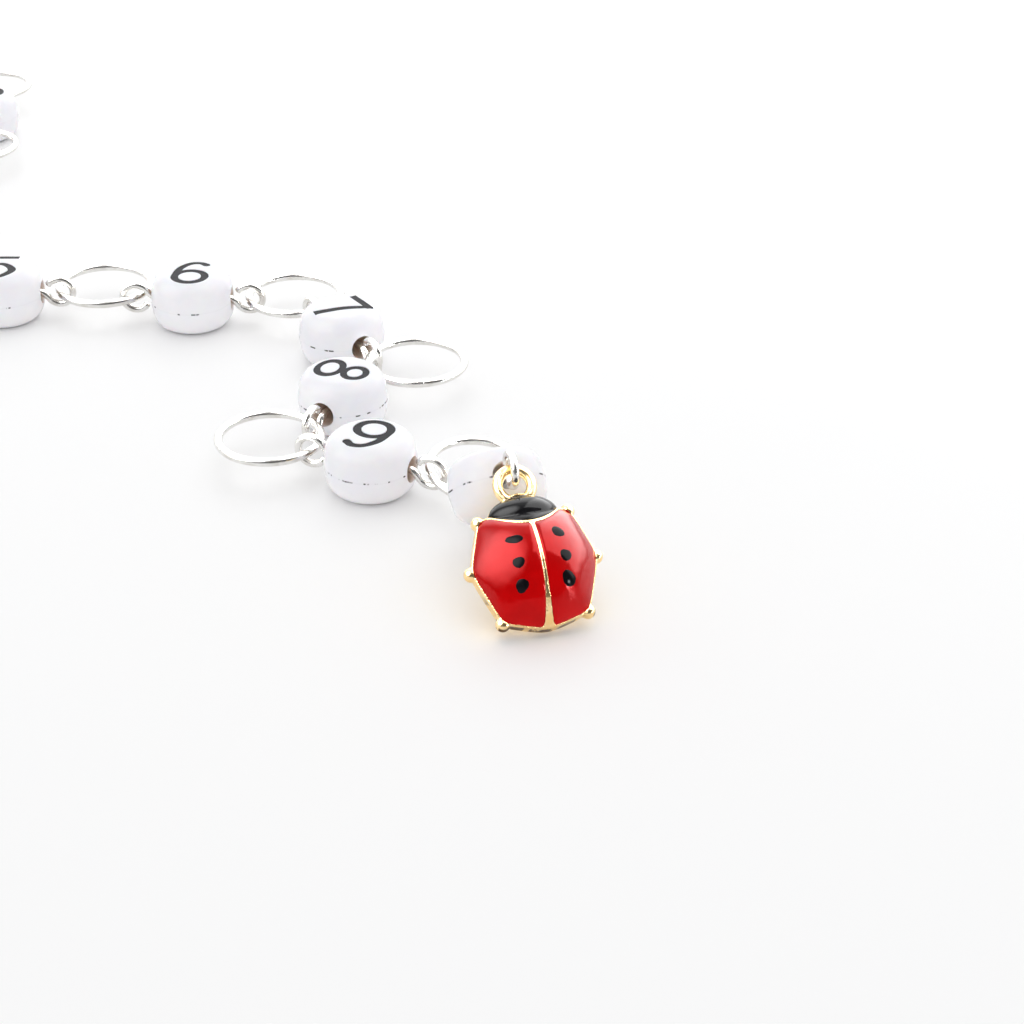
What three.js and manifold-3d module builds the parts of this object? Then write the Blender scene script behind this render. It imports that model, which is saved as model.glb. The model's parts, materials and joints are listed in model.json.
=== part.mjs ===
// Chain row counter: ten numbered beads on wire eye pins, linked by rings that slip over a knitting needle,
// with an enamelled ladybird charm on the last bead. Millimetres, +Z up, lying on the plane z = 0.
import * as THREE from 'three';
import { mergeVertices } from 'three/addons/utils/BufferGeometryUtils.js';
import Module from 'manifold-3d';

const wasm = await Module();
wasm.setup();

// bead
const beadDiameter = 7;
const beadThickness = 4.6;
const beadRimRadius = 1.4;
const beadDraft = 0.12; // radius lost between the parting line and each rim
const beadHole = 1.8;

// inked numeral
const numeralHeight = 4.5;
const numeralDepth = 0.35;
const inkThickness = 0.26;
const inkGap = 0.04;

// rings that take the needle
const ringBore = 7;
const ringWire = 0.7;

// eye pins: the loop leaves the ring wire and the charm's bail room to turn
const pinWire = 0.6;
const loopPlay = 0.9;
const loopSink = 0.15; // how far a loop sits back into the mouth of the bead's hole
const loopMouth = 0.12; // gap between the cut end of a loop and its own neck

// ladybird charm
const bodyWidth = 8.7;
const bodyLength = 9.2;
const cornerCrispness = 20; // more makes the corners at the feet sharper
const bodyCorners = [ // shares of the half width and half length, from the brow round to the tail
  { across: 0, along: 0.9 },
  { across: 0.72, along: 0.75 },
  { across: 1, along: 0 },
  { across: 0.68, along: -0.81 },
  { across: 0, along: -1 },
];
const bodyWall = 0.9;
const bodyRise = 2.5;
const domeFullness = 1.6; // 1 is an ellipsoid's dome, 2 a paraboloid's
const headWidth = 4.9;
const headLength = 2.9;
const headCentre = 3.5;
const headRise = 1.5;
const shoulderLine = 3.65; // where the wing cases end and the head begins
const shoulderSag = 1.2;
const rimWidth = 0.18;
const ridgeWidth = 0.26;
const tailWedge = 0.75;
const cellFloor = 0.7;
const enamelGap = 0.04;
const spotDepth = 0.5;
const spotOffset = 1.6;
const spots = [
  { along: 1.25, radius: 0.46 },
  { along: -0.4, radius: 0.42 },
  { along: -1.9, radius: 0.48 },
];
const footRadius = 0.52; // a foot stands at each corner between the brow and the tail
const footHeight = 1.1;
const bailBore = 1.6;
const bailWire = 0.75;
const bailBite = 0.6; // how far the bail's ring is sunk into the head

// how the chain lies: turns in degrees, in order from the charm to the start of the chain
const endBeadPitch = 42;
const endBeadHeading = -74;
const links = [
  { beads: '0_9', skewIn: -13, turn: 104, skewOut: -38 },
  { beads: '9_8', skewIn: -10, turn: -111, skewOut: 27 },
  { beads: '8_7', skewIn: -38, turn: 132, skewOut: -35 },
  { beads: '7_6', skewIn: -7, turn: 72, skewOut: -10 },
  { beads: '6_5', skewIn: -38, turn: 58, skewOut: -18 },
  { beads: '5_4', skewIn: 0, turn: -85, skewOut: 0 },
  { beads: '4_3', skewIn: 0, turn: -10, skewOut: 0 },
  { beads: '3_2', skewIn: 0, turn: 10, skewOut: 0 },
  { beads: '2_1', skewIn: 0, turn: 75, skewOut: 0 },
];
const order = [0, 9, 8, 7, 6, 5, 4, 3, 2, 1];

// sizes that follow from the ones above
const beadRadius = beadDiameter / 2;
const loopBore = Math.max(ringWire, bailWire) + loopPlay;
const loopOuter = loopBore + 2 * pinWire;
const loopRadius = (loopBore + pinWire) / 2;
const reach = beadRadius + loopOuter / 2 - loopSink; // bead centre to loop centre
const ringRadius = (ringBore + ringWire) / 2;
const bailRadius = (bailBore + bailWire) / 2;
const rad = THREE.MathUtils.degToRad;

const white = { color: 0xf1f4f6, roughness: 0.25, metalness: 0 };
const ink = { color: 0x121214, roughness: 0.3, metalness: 0 };
const silver = { color: 0xc8ccd2, roughness: 0.2, metalness: 1 };
const gold = { color: 0xd9a441, roughness: 0.25, metalness: 1 };
const red = { color: 0xa80f14, roughness: 0.12, metalness: 0 };
const black = { color: 0x0c0c0e, roughness: 0.12, metalness: 0 };

// a closed geometry as a solid that can be joined and cut
function solid(geometry) {
  const bare = geometry.index ? geometry.toNonIndexed() : geometry.clone();
  bare.deleteAttribute('normal');
  bare.deleteAttribute('uv');
  const merged = mergeVertices(bare, 1e-5);
  const kept = [];
  const index = merged.index.array;
  for (let i = 0; i < index.length; i += 3) {
    const [a, b, c] = [index[i], index[i + 1], index[i + 2]];
    if (a !== b && b !== c && a !== c) kept.push(a, b, c);
  }
  return new wasm.Manifold(new wasm.Mesh({
    numProp: 3,
    vertProperties: merged.attributes.position.array,
    triVerts: new Uint32Array(kept),
  }));
}

function geometryOf(made) {
  const mesh = made.getMesh();
  const geometry = new THREE.BufferGeometry();
  geometry.setAttribute('position', new THREE.BufferAttribute(mesh.vertProperties, 3));
  geometry.setIndex(new THREE.BufferAttribute(mesh.triVerts, 1));
  geometry.computeVertexNormals();
  return geometry;
}

function addMesh(parent, name, geometry, look) {
  const mesh = new THREE.Mesh(geometry, new THREE.MeshStandardMaterial(look));
  mesh.name = name;
  parent.add(mesh);
  return mesh;
}

// a path that an extrusion follows point by point
class PointPath extends THREE.Curve {
  constructor(points) {
    super();
    this.points = points;
  }

  getPoint(t) {
    const place = t * (this.points.length - 1);
    const first = Math.min(Math.floor(place), this.points.length - 2);
    return this.points[first].clone().lerp(this.points[first + 1], place - first);
  }

  getPointAt(t) {
    return this.getPoint(t);
  }

  getTangentAt(t) {
    const at = Math.round(t * (this.points.length - 1));
    const before = this.points[Math.max(at - 1, 0)];
    const after = this.points[Math.min(at + 1, this.points.length - 1)];
    return after.clone().sub(before).normalize();
  }
}

function wireAlong(points, diameter, sides) {
  const section = new THREE.Shape();
  for (let i = 0; i < sides; i++) {
    const angle = (i / sides) * 2 * Math.PI;
    const x = (diameter / 2) * Math.cos(angle);
    const y = (diameter / 2) * Math.sin(angle);
    if (i === 0) section.moveTo(x, y);
    else section.lineTo(x, y);
  }
  section.closePath();
  return new THREE.ExtrudeGeometry(section, {
    steps: points.length - 1,
    extrudePath: new PointPath(points),
    bevelEnabled: false,
  });
}

function prism(outline, low, high) {
  const shape = new THREE.Shape(outline);
  const geometry = new THREE.ExtrudeGeometry(shape, { depth: high - low, bevelEnabled: false });
  return solid(geometry.translate(0, 0, low));
}

function oval(halfWidth, halfLength, centre, count) {
  const points = [];
  for (let i = 0; i < count; i++) {
    const angle = (i / count) * 2 * Math.PI;
    points.push(new THREE.Vector2(halfWidth * Math.cos(angle), centre + halfLength * Math.sin(angle)));
  }
  return points;
}

function corners(pairs) {
  return pairs.map(([x, y]) => new THREE.Vector2(x, y));
}

// numerals: pen strokes as [across, up, pen width] in shares of the numeral's height
const bowl = (...shares) => ({ bowl: shares }); // across, up, half width, half height, side pen, end pen
const stroke = (...points) => ({ points });
const six = [
  bowl(0, -0.165, 0.27, 0.245, 0.19, 0.17),
  stroke([0.24, 0.34, 0.19], [0.12, 0.415, 0.16], [-0.06, 0.38, 0.16], [-0.215, 0.17, 0.18],
    [-0.27, -0.14, 0.19]),
];
const turned = (strokes) => strokes.map((s) => (s.bowl
  ? bowl(-s.bowl[0], -s.bowl[1], ...s.bowl.slice(2))
  : stroke(...s.points.map(([x, y, w]) => [-x, -y, w]))));
const figures = [
  [bowl(0, 0, 0.26, 0.415, 0.2, 0.16)],
  [
    stroke([0.03, 0.49, 0.2], [0.03, -0.45, 0.2]),
    stroke([-0.2, -0.43, 0.14], [0.26, -0.43, 0.14]),
    stroke([0.03, 0.42, 0.15], [-0.19, 0.29, 0.13]),
  ],
  [
    stroke([-0.24, 0.23, 0.18], [-0.13, 0.39, 0.16], [0.1, 0.4, 0.17], [0.22, 0.2, 0.19],
      [0.06, -0.08, 0.17], [-0.22, -0.4, 0.16]),
    stroke([-0.3, -0.415, 0.17], [0.3, -0.415, 0.17]),
  ],
  [
    stroke([-0.24, 0.27, 0.18], [-0.06, 0.41, 0.16], [0.18, 0.24, 0.19], [-0.07, 0.05, 0.15]),
    stroke([-0.07, 0.05, 0.15], [0.23, -0.18, 0.2], [0.0, -0.415, 0.16], [-0.26, -0.26, 0.18]),
  ],
  [
    stroke([0.1, 0.45, 0.15], [-0.28, -0.16, 0.15]),
    stroke([-0.33, -0.18, 0.15], [0.33, -0.18, 0.15]),
    stroke([0.12, 0.49, 0.19], [0.12, -0.49, 0.19]),
  ],
  [
    stroke([-0.23, 0.415, 0.17], [0.27, 0.415, 0.17]),
    stroke([-0.17, 0.42, 0.14], [-0.2, 0.04, 0.14]),
    stroke([-0.2, 0.06, 0.14], [0.04, 0.12, 0.16], [0.23, -0.14, 0.2], [0.02, -0.415, 0.16],
      [-0.26, -0.28, 0.18]),
  ],
  six,
  [
    stroke([-0.3, 0.41, 0.18], [0.3, 0.41, 0.18]),
    stroke([0.25, 0.4, 0.15], [0.05, 0.02, 0.18], [-0.06, -0.49, 0.2]),
  ],
  [bowl(0, 0.24, 0.2, 0.18, 0.17, 0.15), bowl(0, -0.22, 0.26, 0.2, 0.19, 0.15)],
  turned(six),
];

// one pen stroke as a solid between two heights, its outline grown all round
function penSolid(pen, grow, low, high) {
  const shape = new THREE.Shape();
  if (pen.bowl) {
    const [x, y, halfWidth, halfHeight, thick, thin] = pen.bowl.map((share) => share * numeralHeight);
    const side = thick / 2 + grow;
    const end = thin / 2 + grow;
    const turn = 2 * Math.PI;
    shape.absellipse(x, y, halfWidth + side, halfHeight + end, 0, turn);
    const inner = new THREE.Path();
    inner.absellipse(x, y, halfWidth - side, halfHeight - end, 0, turn, true);
    shape.holes.push(inner);
    const cut = { depth: high - low, bevelEnabled: false, curveSegments: 9 };
    return solid(new THREE.ExtrudeGeometry(shape, cut).translate(0, 0, low));
  }
  const held = pen.points.map((p) => new THREE.Vector3(...p).multiplyScalar(numeralHeight));
  const curve = new THREE.CatmullRomCurve3(held);
  const steps = pen.points.length > 2 ? 4 * (pen.points.length - 1) : 1;
  const left = [];
  const right = [];
  for (let i = 0; i <= steps; i++) {
    const at = curve.getPoint(i / steps);
    const along = curve.getTangent(i / steps).setZ(0).normalize();
    const half = at.z / 2 + grow;
    const past = i === 0 ? -grow : i === steps ? grow : 0;
    const x = at.x + along.x * past;
    const y = at.y + along.y * past;
    left.push([x - along.y * half, y + along.x * half]);
    right.unshift([x + along.y * half, y - along.x * half]);
  }
  return prism(corners([...left, ...right].reverse()), low, high);
}

const beadTop = beadThickness / 2;

function numeralSolid(figure, grow, low, high) {
  return figures[figure].map((pen) => penSolid(pen, grow, low, high)).reduce((all, next) => all.add(next));
}

// half of the bead's outline from the parting line up, then mirrored below it
function beadProfile() {
  const side = beadRadius - beadDraft;
  const upper = [new THREE.Vector2(beadRadius, 0)];
  for (let i = 0; i <= 4; i++) {
    const angle = (i / 4) * (Math.PI / 2);
    upper.push(new THREE.Vector2(
      side - beadRimRadius * (1 - Math.cos(angle)),
      beadTop - beadRimRadius * (1 - Math.sin(angle)),
    ));
  }
  upper.push(new THREE.Vector2(0, beadTop));
  const lower = upper.slice(1).reverse().map((p) => new THREE.Vector2(p.x, -p.y));
  return [...lower, ...upper];
}

const beadBlank = solid(new THREE.LatheGeometry(beadProfile(), 24).rotateX(Math.PI / 2))
  .subtract(solid(new THREE.CylinderGeometry(beadHole / 2, beadHole / 2, 2 * beadDiameter, 12)
    .rotateZ(Math.PI / 2)));

function beadGeometry(figure) {
  const sunk = numeralSolid(figure, inkGap, beadTop - numeralDepth, beadTop + numeralDepth);
  return geometryOf(beadBlank.subtract(sunk));
}

function inkGeometry(figure) {
  const floor = beadTop - numeralDepth + inkGap;
  return geometryOf(numeralSolid(figure, 0, floor, floor + inkThickness));
}

// an eye pin lies along X, with its loops standing in the XZ plane
function pinPoints() {
  const steps = 12;
  const opening = 2 * Math.asin((pinWire + loopMouth) / (2 * loopRadius));
  const leave = 0.45;
  const half = [new THREE.Vector3(reach - loopRadius - pinWire / 2, 0, 0)];
  for (let i = 0; i <= steps; i++) {
    const angle = Math.PI + leave + (i / steps) * (2 * Math.PI - leave - opening);
    half.push(new THREE.Vector3(reach + loopRadius * Math.cos(angle), 0, loopRadius * Math.sin(angle)));
  }
  const other = half.map((p) => p.clone().negate()).reverse();
  return [...other, ...half];
}

const model = new THREE.Group();
const chain = new THREE.Group();
model.add(chain);

function addBead(figure, place, heading, pitch) {
  const holder = new THREE.Group();
  holder.position.copy(place);
  holder.rotation.set(0, -pitch, heading, 'ZYX');
  chain.add(holder);
  addMesh(holder, `bead_${figure}`, beadGeometry(figure), white);
  addMesh(holder, `numeral_${figure}`, inkGeometry(figure), ink);
  addMesh(holder, `pin_${figure}`, wireAlong(pinPoints(), pinWire, 6), silver);
  return holder;
}

// a ring through two points, bulging to the left of the line between them for side +1
function addRing(name, from, to, side) {
  const span = to.clone().sub(from);
  const half = Math.min(span.length() / 2, ringRadius);
  const holder = new THREE.Group();
  holder.position.copy(from).add(to).multiplyScalar(0.5);
  const level = Math.hypot(span.x, span.y);
  holder.rotation.set(0, -Math.atan2(span.z, level), Math.atan2(span.y, span.x), 'ZYX');
  chain.add(holder);
  const ring = addMesh(holder, name, new THREE.TorusGeometry(ringRadius, ringWire / 2, 6, 22), silver);
  ring.position.y = side * Math.sqrt(ringRadius * ringRadius - half * half);
}

const towards = (angle, length) => new THREE.Vector3(length * Math.cos(angle), length * Math.sin(angle), 0);

// the last bead leans on its rear loop and holds its front loop up for the charm
const pitch = rad(endBeadPitch);
const heading = rad(endBeadHeading);
const rearLoop = new THREE.Vector3(0, 0, loopOuter / 2);
const endBead = rearLoop.clone().add(towards(heading, reach * Math.cos(pitch)));
endBead.z += reach * Math.sin(pitch);
addBead(order[0], endBead, heading, pitch);
const frontLoop = endBead.clone().multiplyScalar(2).sub(rearLoop);

// the rest of the chain lies on its flat faces
let travel = heading + Math.PI;
let crossing = rearLoop;
links.forEach((link, i) => {
  const toCentre = travel + rad(link.skewIn);
  const fromCentre = toCentre + rad(link.turn);
  const next = crossing.clone().add(towards(toCentre, ringRadius)).add(towards(fromCentre, ringRadius));
  next.z = beadThickness / 2;
  addRing(`ring_${link.beads}`, crossing, next, Math.sign(-link.turn));
  travel = fromCentre + rad(link.skewOut);
  const bead = next.clone().add(towards(travel, reach));
  addBead(order[i + 1], bead, travel + Math.PI, 0);
  crossing = bead.clone().add(towards(travel, reach));
});

// the first ring drops from its loop until its far side lies on the plane
const startDrop = Math.asin((crossing.z - ringWire / 2) / (2 * ringRadius));
const startFar = crossing.clone().add(towards(travel, 2 * ringRadius * Math.cos(startDrop)));
startFar.z = ringWire / 2;
addRing('ring_start', crossing, startFar, 1);

// charm: X across, Y towards the bail, Z out of the enamelled face, back on z = 0
function dome(rim, centre, rise) {
  const profile = [new THREE.Vector2(0, 0), new THREE.Vector2(1, 0)];
  for (let i = 0; i <= 6; i++) {
    const angle = (i / 6) * (Math.PI / 2);
    const height = bodyWall + rise * Math.sin(angle) ** domeFullness;
    profile.push(new THREE.Vector2(i === 6 ? 0 : Math.cos(angle), height));
  }
  const geometry = new THREE.LatheGeometry(profile, rim.length).rotateX(Math.PI / 2);
  const place = geometry.attributes.position;
  for (let i = 0; i < place.count; i++) {
    const share = profile[i % profile.length].x;
    const spoke = rim[Math.floor(i / profile.length) % rim.length];
    place.setXY(i, share * spoke.x, share * spoke.y + centre);
  }
  return solid(geometry);
}

const halfWidth = bodyWidth / 2;
const halfLength = bodyLength / 2;
const headHalfWidth = headWidth / 2;
const headHalfLength = headLength / 2;
const charmTop = 2 * (bodyWall + bodyRise);
const wide = bodyWidth + bodyLength;

// the corners stand out by what their rounding takes off again
const drawOut = 2 ** (1 / cornerCrispness);
const rightCorners = bodyCorners.map((corner) => new THREE.Vector2(
  corner.across * halfWidth * drawOut,
  corner.along * halfLength * drawOut,
));
const leftCorners = rightCorners.slice(1, -1).reverse().map((p) => new THREE.Vector2(-p.x, p.y));
const bodyRing = [...rightCorners, ...leftCorners].reverse();
const bodyEdges = bodyRing.map((from, i) => {
  const to = bodyRing[(i + 1) % bodyRing.length];
  const out = new THREE.Vector2(to.y - from.y, from.x - to.x).normalize();
  return { out, far: out.dot(from) };
});

// how far out a point lies: 0 in the middle, 1 on the body's outline drawn in by the margin
function outwards(x, y, margin) {
  const shares = bodyEdges.map(({ out, far }) => Math.max((out.x * x + out.y * y) / (far - margin), 0));
  return shares.reduce((sum, share) => sum + share ** cornerCrispness, 0) ** (1 / cornerCrispness);
}

function bodyOutline(margin) {
  return bodyRing.flatMap((from, i) => [0, 0.25, 0.5, 0.75].map((share) => {
    const at = from.clone().lerp(bodyRing[(i + 1) % bodyRing.length], share);
    return at.divideScalar(outwards(at.x, at.y, margin));
  }));
}

const form = dome(bodyOutline(0), 0, bodyRise)
  .add(dome(oval(headHalfWidth, headHalfLength, 0, 32), headCentre, headRise));

// the line between head and wing cases, which sags towards the tail in the middle
const shoulderSteps = [-1, -0.75, -0.5, -0.25, 0, 0.25, 0.5, 0.75, 1];
function shoulder(x) {
  return shoulderLine - shoulderSag * Math.max(1 - (x / headHalfWidth) ** 2, 0);
}

// the hollows for the enamel, drawn in by a gap for the enamel itself
function wingCell(side, gap, low) {
  const cut = rimWidth + gap;
  const inside = prism(bodyOutline(cut), low, charmTop);
  const near = ridgeWidth / 2 + gap;
  const tail = tailWedge / 2 + gap;
  const drop = ridgeWidth / 2 + gap;
  const top = shoulderSteps.filter((share) => share * headHalfWidth > 2 * near)
    .map((share) => [share * headHalfWidth, shoulder(share * headHalfWidth) - drop]);
  const seam = [0, 0.5, 0.75, 1].map((share) => [near + (tail - near) * share ** 3, -share * halfLength]);
  const outline = [[wide, -halfLength], [wide, shoulderLine - drop], ...top.reverse(),
    [near, shoulder(near) - drop], ...seam].reverse().map(([x, y]) => [side * x, y]);
  if (side > 0) outline.reverse();
  return inside.intersect(prism(corners(outline), low, charmTop));
}

function headCell(gap, low) {
  const cut = rimWidth + gap;
  const inside = prism(oval(headHalfWidth - cut, headHalfLength - cut, headCentre, 24), low, charmTop);
  const rise = ridgeWidth / 2 + gap;
  const line = shoulderSteps.map((share) => [share * headHalfWidth, shoulder(share * headHalfWidth) + rise]);
  const outline = [...line, [headHalfWidth, wide], [-headHalfWidth, wide]];
  return inside.intersect(prism(corners(outline), low, charmTop));
}

function spotPrism(side, spot, gap, low) {
  const outline = oval(spot.radius + gap, spot.radius + gap, spot.along, 12);
  return prism(outline.map((p) => new THREE.Vector2(p.x + side * spotOffset, p.y)), low, charmTop);
}

// height of the wing case above the charm's back
function wingHeight(x, y) {
  return bodyWall + bodyRise * Math.max(1 - outwards(x, y, 0) ** 2, 0) ** (domeFullness / 2);
}

const bailCentre = headCentre + headHalfLength + bailRadius + bailWire / 2 - bailBite;
let casting = form;
for (const foot of bodyCorners.slice(1, -1)) {
  for (const side of [-1, 1]) {
    const nub = new THREE.SphereGeometry(1, 8, 6).scale(footRadius, footRadius, footHeight / 2);
    nub.translate(side * foot.across * halfWidth, foot.along * halfLength, footHeight / 2);
    casting = casting.add(solid(nub));
  }
}
casting = casting.add(solid(new THREE.TorusGeometry(bailRadius, bailWire / 2, 8, 18)
  .translate(0, bailCentre, bailWire / 2)));
casting = casting.subtract(headCell(0, cellFloor));

const charm = new THREE.Group();
for (const [side, name] of [[-1, 'left'], [1, 'right']]) {
  casting = casting.subtract(wingCell(side, 0, cellFloor));
  let wing = form.intersect(wingCell(side, enamelGap, cellFloor + enamelGap));
  spots.forEach((spot, i) => {
    const floor = wingHeight(spotOffset, spot.along) - spotDepth;
    const fill = form.intersect(spotPrism(side, spot, 0, floor + enamelGap));
    wing = wing.subtract(spotPrism(side, spot, enamelGap, floor));
    addMesh(charm, `spot_${name}_${i + 1}`, geometryOf(fill), black);
  });
  addMesh(charm, `enamel_${name}`, geometryOf(wing), red);
}
addMesh(charm, 'enamel_head', geometryOf(form.intersect(headCell(enamelGap, cellFloor + enamelGap))), black);
addMesh(charm, 'charm', geometryOf(casting), gold);

// the bail's top hangs in the last bead's front loop and the charm's tail rests on the plane
const hang = bailCentre + bailRadius;
const tailReach = hang + halfLength;
const lift = bailWire / 2;
const lean = Math.asin(frontLoop.z / Math.hypot(tailReach, lift)) - Math.atan2(lift, tailReach);
charm.children.forEach((mesh) => mesh.geometry.translate(0, -hang, -lift));
charm.position.copy(frontLoop);
charm.rotation.set(lean, 0, heading + Math.PI / 2, 'ZYX');
chain.add(charm);

// the origin is under the middle of the chain, on the plane it lies on
model.updateMatrixWorld(true);
const box = new THREE.Box3().setFromObject(model, true);
const middle = box.getCenter(new THREE.Vector3());
chain.position.set(-middle.x, -middle.y, -box.min.z);

export default model;
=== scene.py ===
import json
import math
import bpy
from mathutils import Matrix, Vector


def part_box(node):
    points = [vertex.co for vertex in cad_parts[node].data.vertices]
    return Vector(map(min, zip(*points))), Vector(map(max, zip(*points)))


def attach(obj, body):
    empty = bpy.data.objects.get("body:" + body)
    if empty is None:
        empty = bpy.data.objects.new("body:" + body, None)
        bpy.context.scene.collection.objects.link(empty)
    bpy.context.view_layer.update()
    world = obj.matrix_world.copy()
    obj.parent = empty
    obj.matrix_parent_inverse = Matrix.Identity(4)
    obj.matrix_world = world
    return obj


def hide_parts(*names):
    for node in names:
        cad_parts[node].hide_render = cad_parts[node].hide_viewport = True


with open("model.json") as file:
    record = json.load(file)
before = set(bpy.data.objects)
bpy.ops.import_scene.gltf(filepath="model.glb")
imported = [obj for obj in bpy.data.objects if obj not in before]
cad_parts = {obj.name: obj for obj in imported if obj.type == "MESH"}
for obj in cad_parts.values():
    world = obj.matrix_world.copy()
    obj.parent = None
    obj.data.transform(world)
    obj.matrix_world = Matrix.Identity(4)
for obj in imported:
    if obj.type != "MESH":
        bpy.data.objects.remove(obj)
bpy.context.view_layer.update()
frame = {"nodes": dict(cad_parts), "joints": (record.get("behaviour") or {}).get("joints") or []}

joints = {joint["name"]: joint for joint in frame["joints"]}
scene = bpy.context.scene
scene.view_settings.view_transform = "Standard"
metresPerMm = 0.001
up = Vector((0, 0, 1))


class Wired:  # wraps a socket, so that an expression on it adds the nodes
    def __init__(self, tree, socket):
        self.tree = tree
        self.socket = socket

    def node(self, kind, settings, values, output=0):
        made = self.tree.nodes.new(kind)
        for key, value in settings.items():
            setattr(made, key, value)
        for key, value in values.items():
            if isinstance(value, Wired):
                self.tree.links.new(value.socket, made.inputs[key])
            else:
                made.inputs[key].default_value = value
        return Wired(self.tree, made.outputs[output])

    def maths(self, operation, *values):
        return self.node("ShaderNodeMath", {"operation": operation}, dict(enumerate(values)))

    def __add__(self, other):
        return self.maths("ADD", self, other)

    def __radd__(self, other):
        return self.maths("ADD", other, self)

    def __sub__(self, other):
        return self.maths("SUBTRACT", self, other)

    def __rsub__(self, other):
        return self.maths("SUBTRACT", other, self)

    def __mul__(self, other):
        return self.maths("MULTIPLY", self, other)

    def __rmul__(self, other):
        return self.maths("MULTIPLY", other, self)

    def __pow__(self, other):
        return self.maths("POWER", self, other)

    def __abs__(self):
        return self.maths("ABSOLUTE", self)

    def axis(self, index):
        return self.node("ShaderNodeSeparateXYZ", {}, {0: self}, index)

    def stretched(self, *factors):
        return self.node("ShaderNodeVectorMath", {"operation": "MULTIPLY"}, {0: self, 1: factors})

    def noise(self, scale, detail, seed=0.0, roughness=0.5):
        values = {"Vector": self, "W": seed, "Scale": scale}
        values |= {"Detail": detail, "Roughness": roughness}
        return self.node("ShaderNodeTexNoise", {"noise_dimensions": "4D"}, values)

    def cells(self, scale):
        values = {"Vector": self, "Scale": scale}
        return self.node("ShaderNodeTexVoronoi", {"feature": "SMOOTH_F1"}, values)

    def band(self, low, high):  # 0 up to low, 1 from high on; falls when low is the larger
        settings = {"interpolation_type": "SMOOTHSTEP"}
        return self.node("ShaderNodeMapRange", settings, {0: self, 1: low, 2: high})

    def tint(self, first, second):  # the wired value is the share of the second colour
        ends = [end if isinstance(end, Wired) else (*end, 1) for end in (first, second)]
        values = {0: self, 6: ends[0], 7: ends[1]}
        return self.node("ShaderNodeMix", {"data_type": "RGBA"}, values, 2)

    def bump(self, depth):  # depth in mm for a height of one
        values = {"Strength": 1.0, "Distance": depth * metresPerMm, "Height": self}
        return self.node("ShaderNodeBump", {}, values)


def finish(name, constants, paint, *choices):
    made = bpy.data.materials.new(name)
    made.use_nodes = True
    tree = made.node_tree
    shader = tree.nodes["Principled BSDF"]
    for key, value in constants.items():
        shader.inputs[key].default_value = value
    own = tree.nodes.new("ShaderNodeAttribute")
    own.attribute_name = "local"  # each point's place in its piece, in millimetres
    for key, value in paint(Wired(tree, own.outputs["Vector"]), *choices).items():
        tree.links.new(value.socket, shader.inputs[key])
    return made


camera = {
    "target": (34.46, -37.2, 0.0),  # mm, the point of the floor in the middle of the picture
    "elevation": 30.0,
    "distance": 168.0,  # mm
    "lens": 81.28,
    "sensor": 36.0,
    "nearest": 5.0,  # mm
}


def aim(thing, place, target):
    thing.location = place
    thing.rotation_euler = (Vector(target) - Vector(place)).to_track_quat("-Z", "Y").to_euler()


target = Vector(camera["target"]) * metresPerMm
tilt = math.radians(camera["elevation"])
lensData = bpy.data.cameras.new("camera")
lensData.lens = camera["lens"]
lensData.sensor_width = camera["sensor"]
lensData.clip_start = camera["nearest"] * metresPerMm
eye = bpy.data.objects.new("camera", lensData)
scene.collection.objects.link(eye)
away = Vector((0, -math.cos(tilt), math.sin(tilt))) * camera["distance"] * metresPerMm
aim(eye, target + away, target)
scene.camera = eye

studio = {
    "floorTint": (0.95, 0.95, 0.952, 1),
    "floorRoughness": 0.3,
    "floorGloss": 0.015,
    "floorSize": 3.0,  # metres
    "floorDrop": 0.02,  # mm below what lies on it
    "keyPlace": (5, 170, 230),  # mm from the target: behind and above
    "keySize": 300,  # mm
    "keyPower": 0.15,
    "fillLevel": 0.9,
}


def softbox(name, place, size, power):
    data = bpy.data.lights.new(name, "AREA")
    data.shape = "DISK"
    data.size = size * metresPerMm
    data.energy = power
    lamp = bpy.data.objects.new(name, data)
    scene.collection.objects.link(lamp)
    aim(lamp, target + Vector(place) * metresPerMm, target)


softbox("keyLight", studio["keyPlace"], studio["keySize"], studio["keyPower"])

# the room that gloss sees, by direction: pale behind, darker in front, with four panes
glossRoom = {
    "frontLevel": 0.14,
    "backLevel": 0.85,
    "backLift": 0.35,  # how far height counts as the back
    "backFade": (-0.45, 0.5),
    "leftAim": (-0.68, -0.23, 0.70),  # a soft round pane high on the left
    "leftLevel": 8.5,
    "leftFade": (0.71, 1.0),
    "rightSlope": (-0.336, 1.0, 0.0),  # a broad one behind on the right, with a straight lower edge
    "rightEdge": -0.392,
    "rightSoft": 0.03,
    "rightSide": (0.12, 0.24),
    "rightHorizon": (0.0, 0.15),
    "rightLevel": 4.6,
    "rearFade": (0.52, 0.68),  # one straight behind
    "rearLevel": 1.8,
    "sparkAim": (0.93, -0.345, 0.07),  # a small bright one low on the right
    "sparkFade": (0.9972, 0.9986),
    "sparkLevel": 46,
}

world = bpy.data.worlds.new("softRoom")
scene.world = world
world.use_nodes = True
room = world.node_tree
backdrop = room.nodes["Background"]
backdrop.inputs["Color"].default_value = (1, 1, 1, 1)
path = room.nodes.new("ShaderNodeLightPath")
byCamera, byGloss, byGlass = [
    Wired(room, path.outputs[kind])
    for kind in ("Is Camera Ray", "Is Glossy Ray", "Is Transmission Ray")
]
facing = Wired(room, room.nodes.new("ShaderNodeTexCoord").outputs["Generated"])
roomX, roomY, roomZ = facing.axis(0), facing.axis(1), facing.axis(2)


def towardsRoom(direction):
    return direction[0] * roomX + direction[1] * roomY + direction[2] * roomZ


def roundPane(side):
    return towardsRoom(Vector(glossRoom[side + "Aim"]).normalized()).band(*glossRoom[side + "Fade"])


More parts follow.
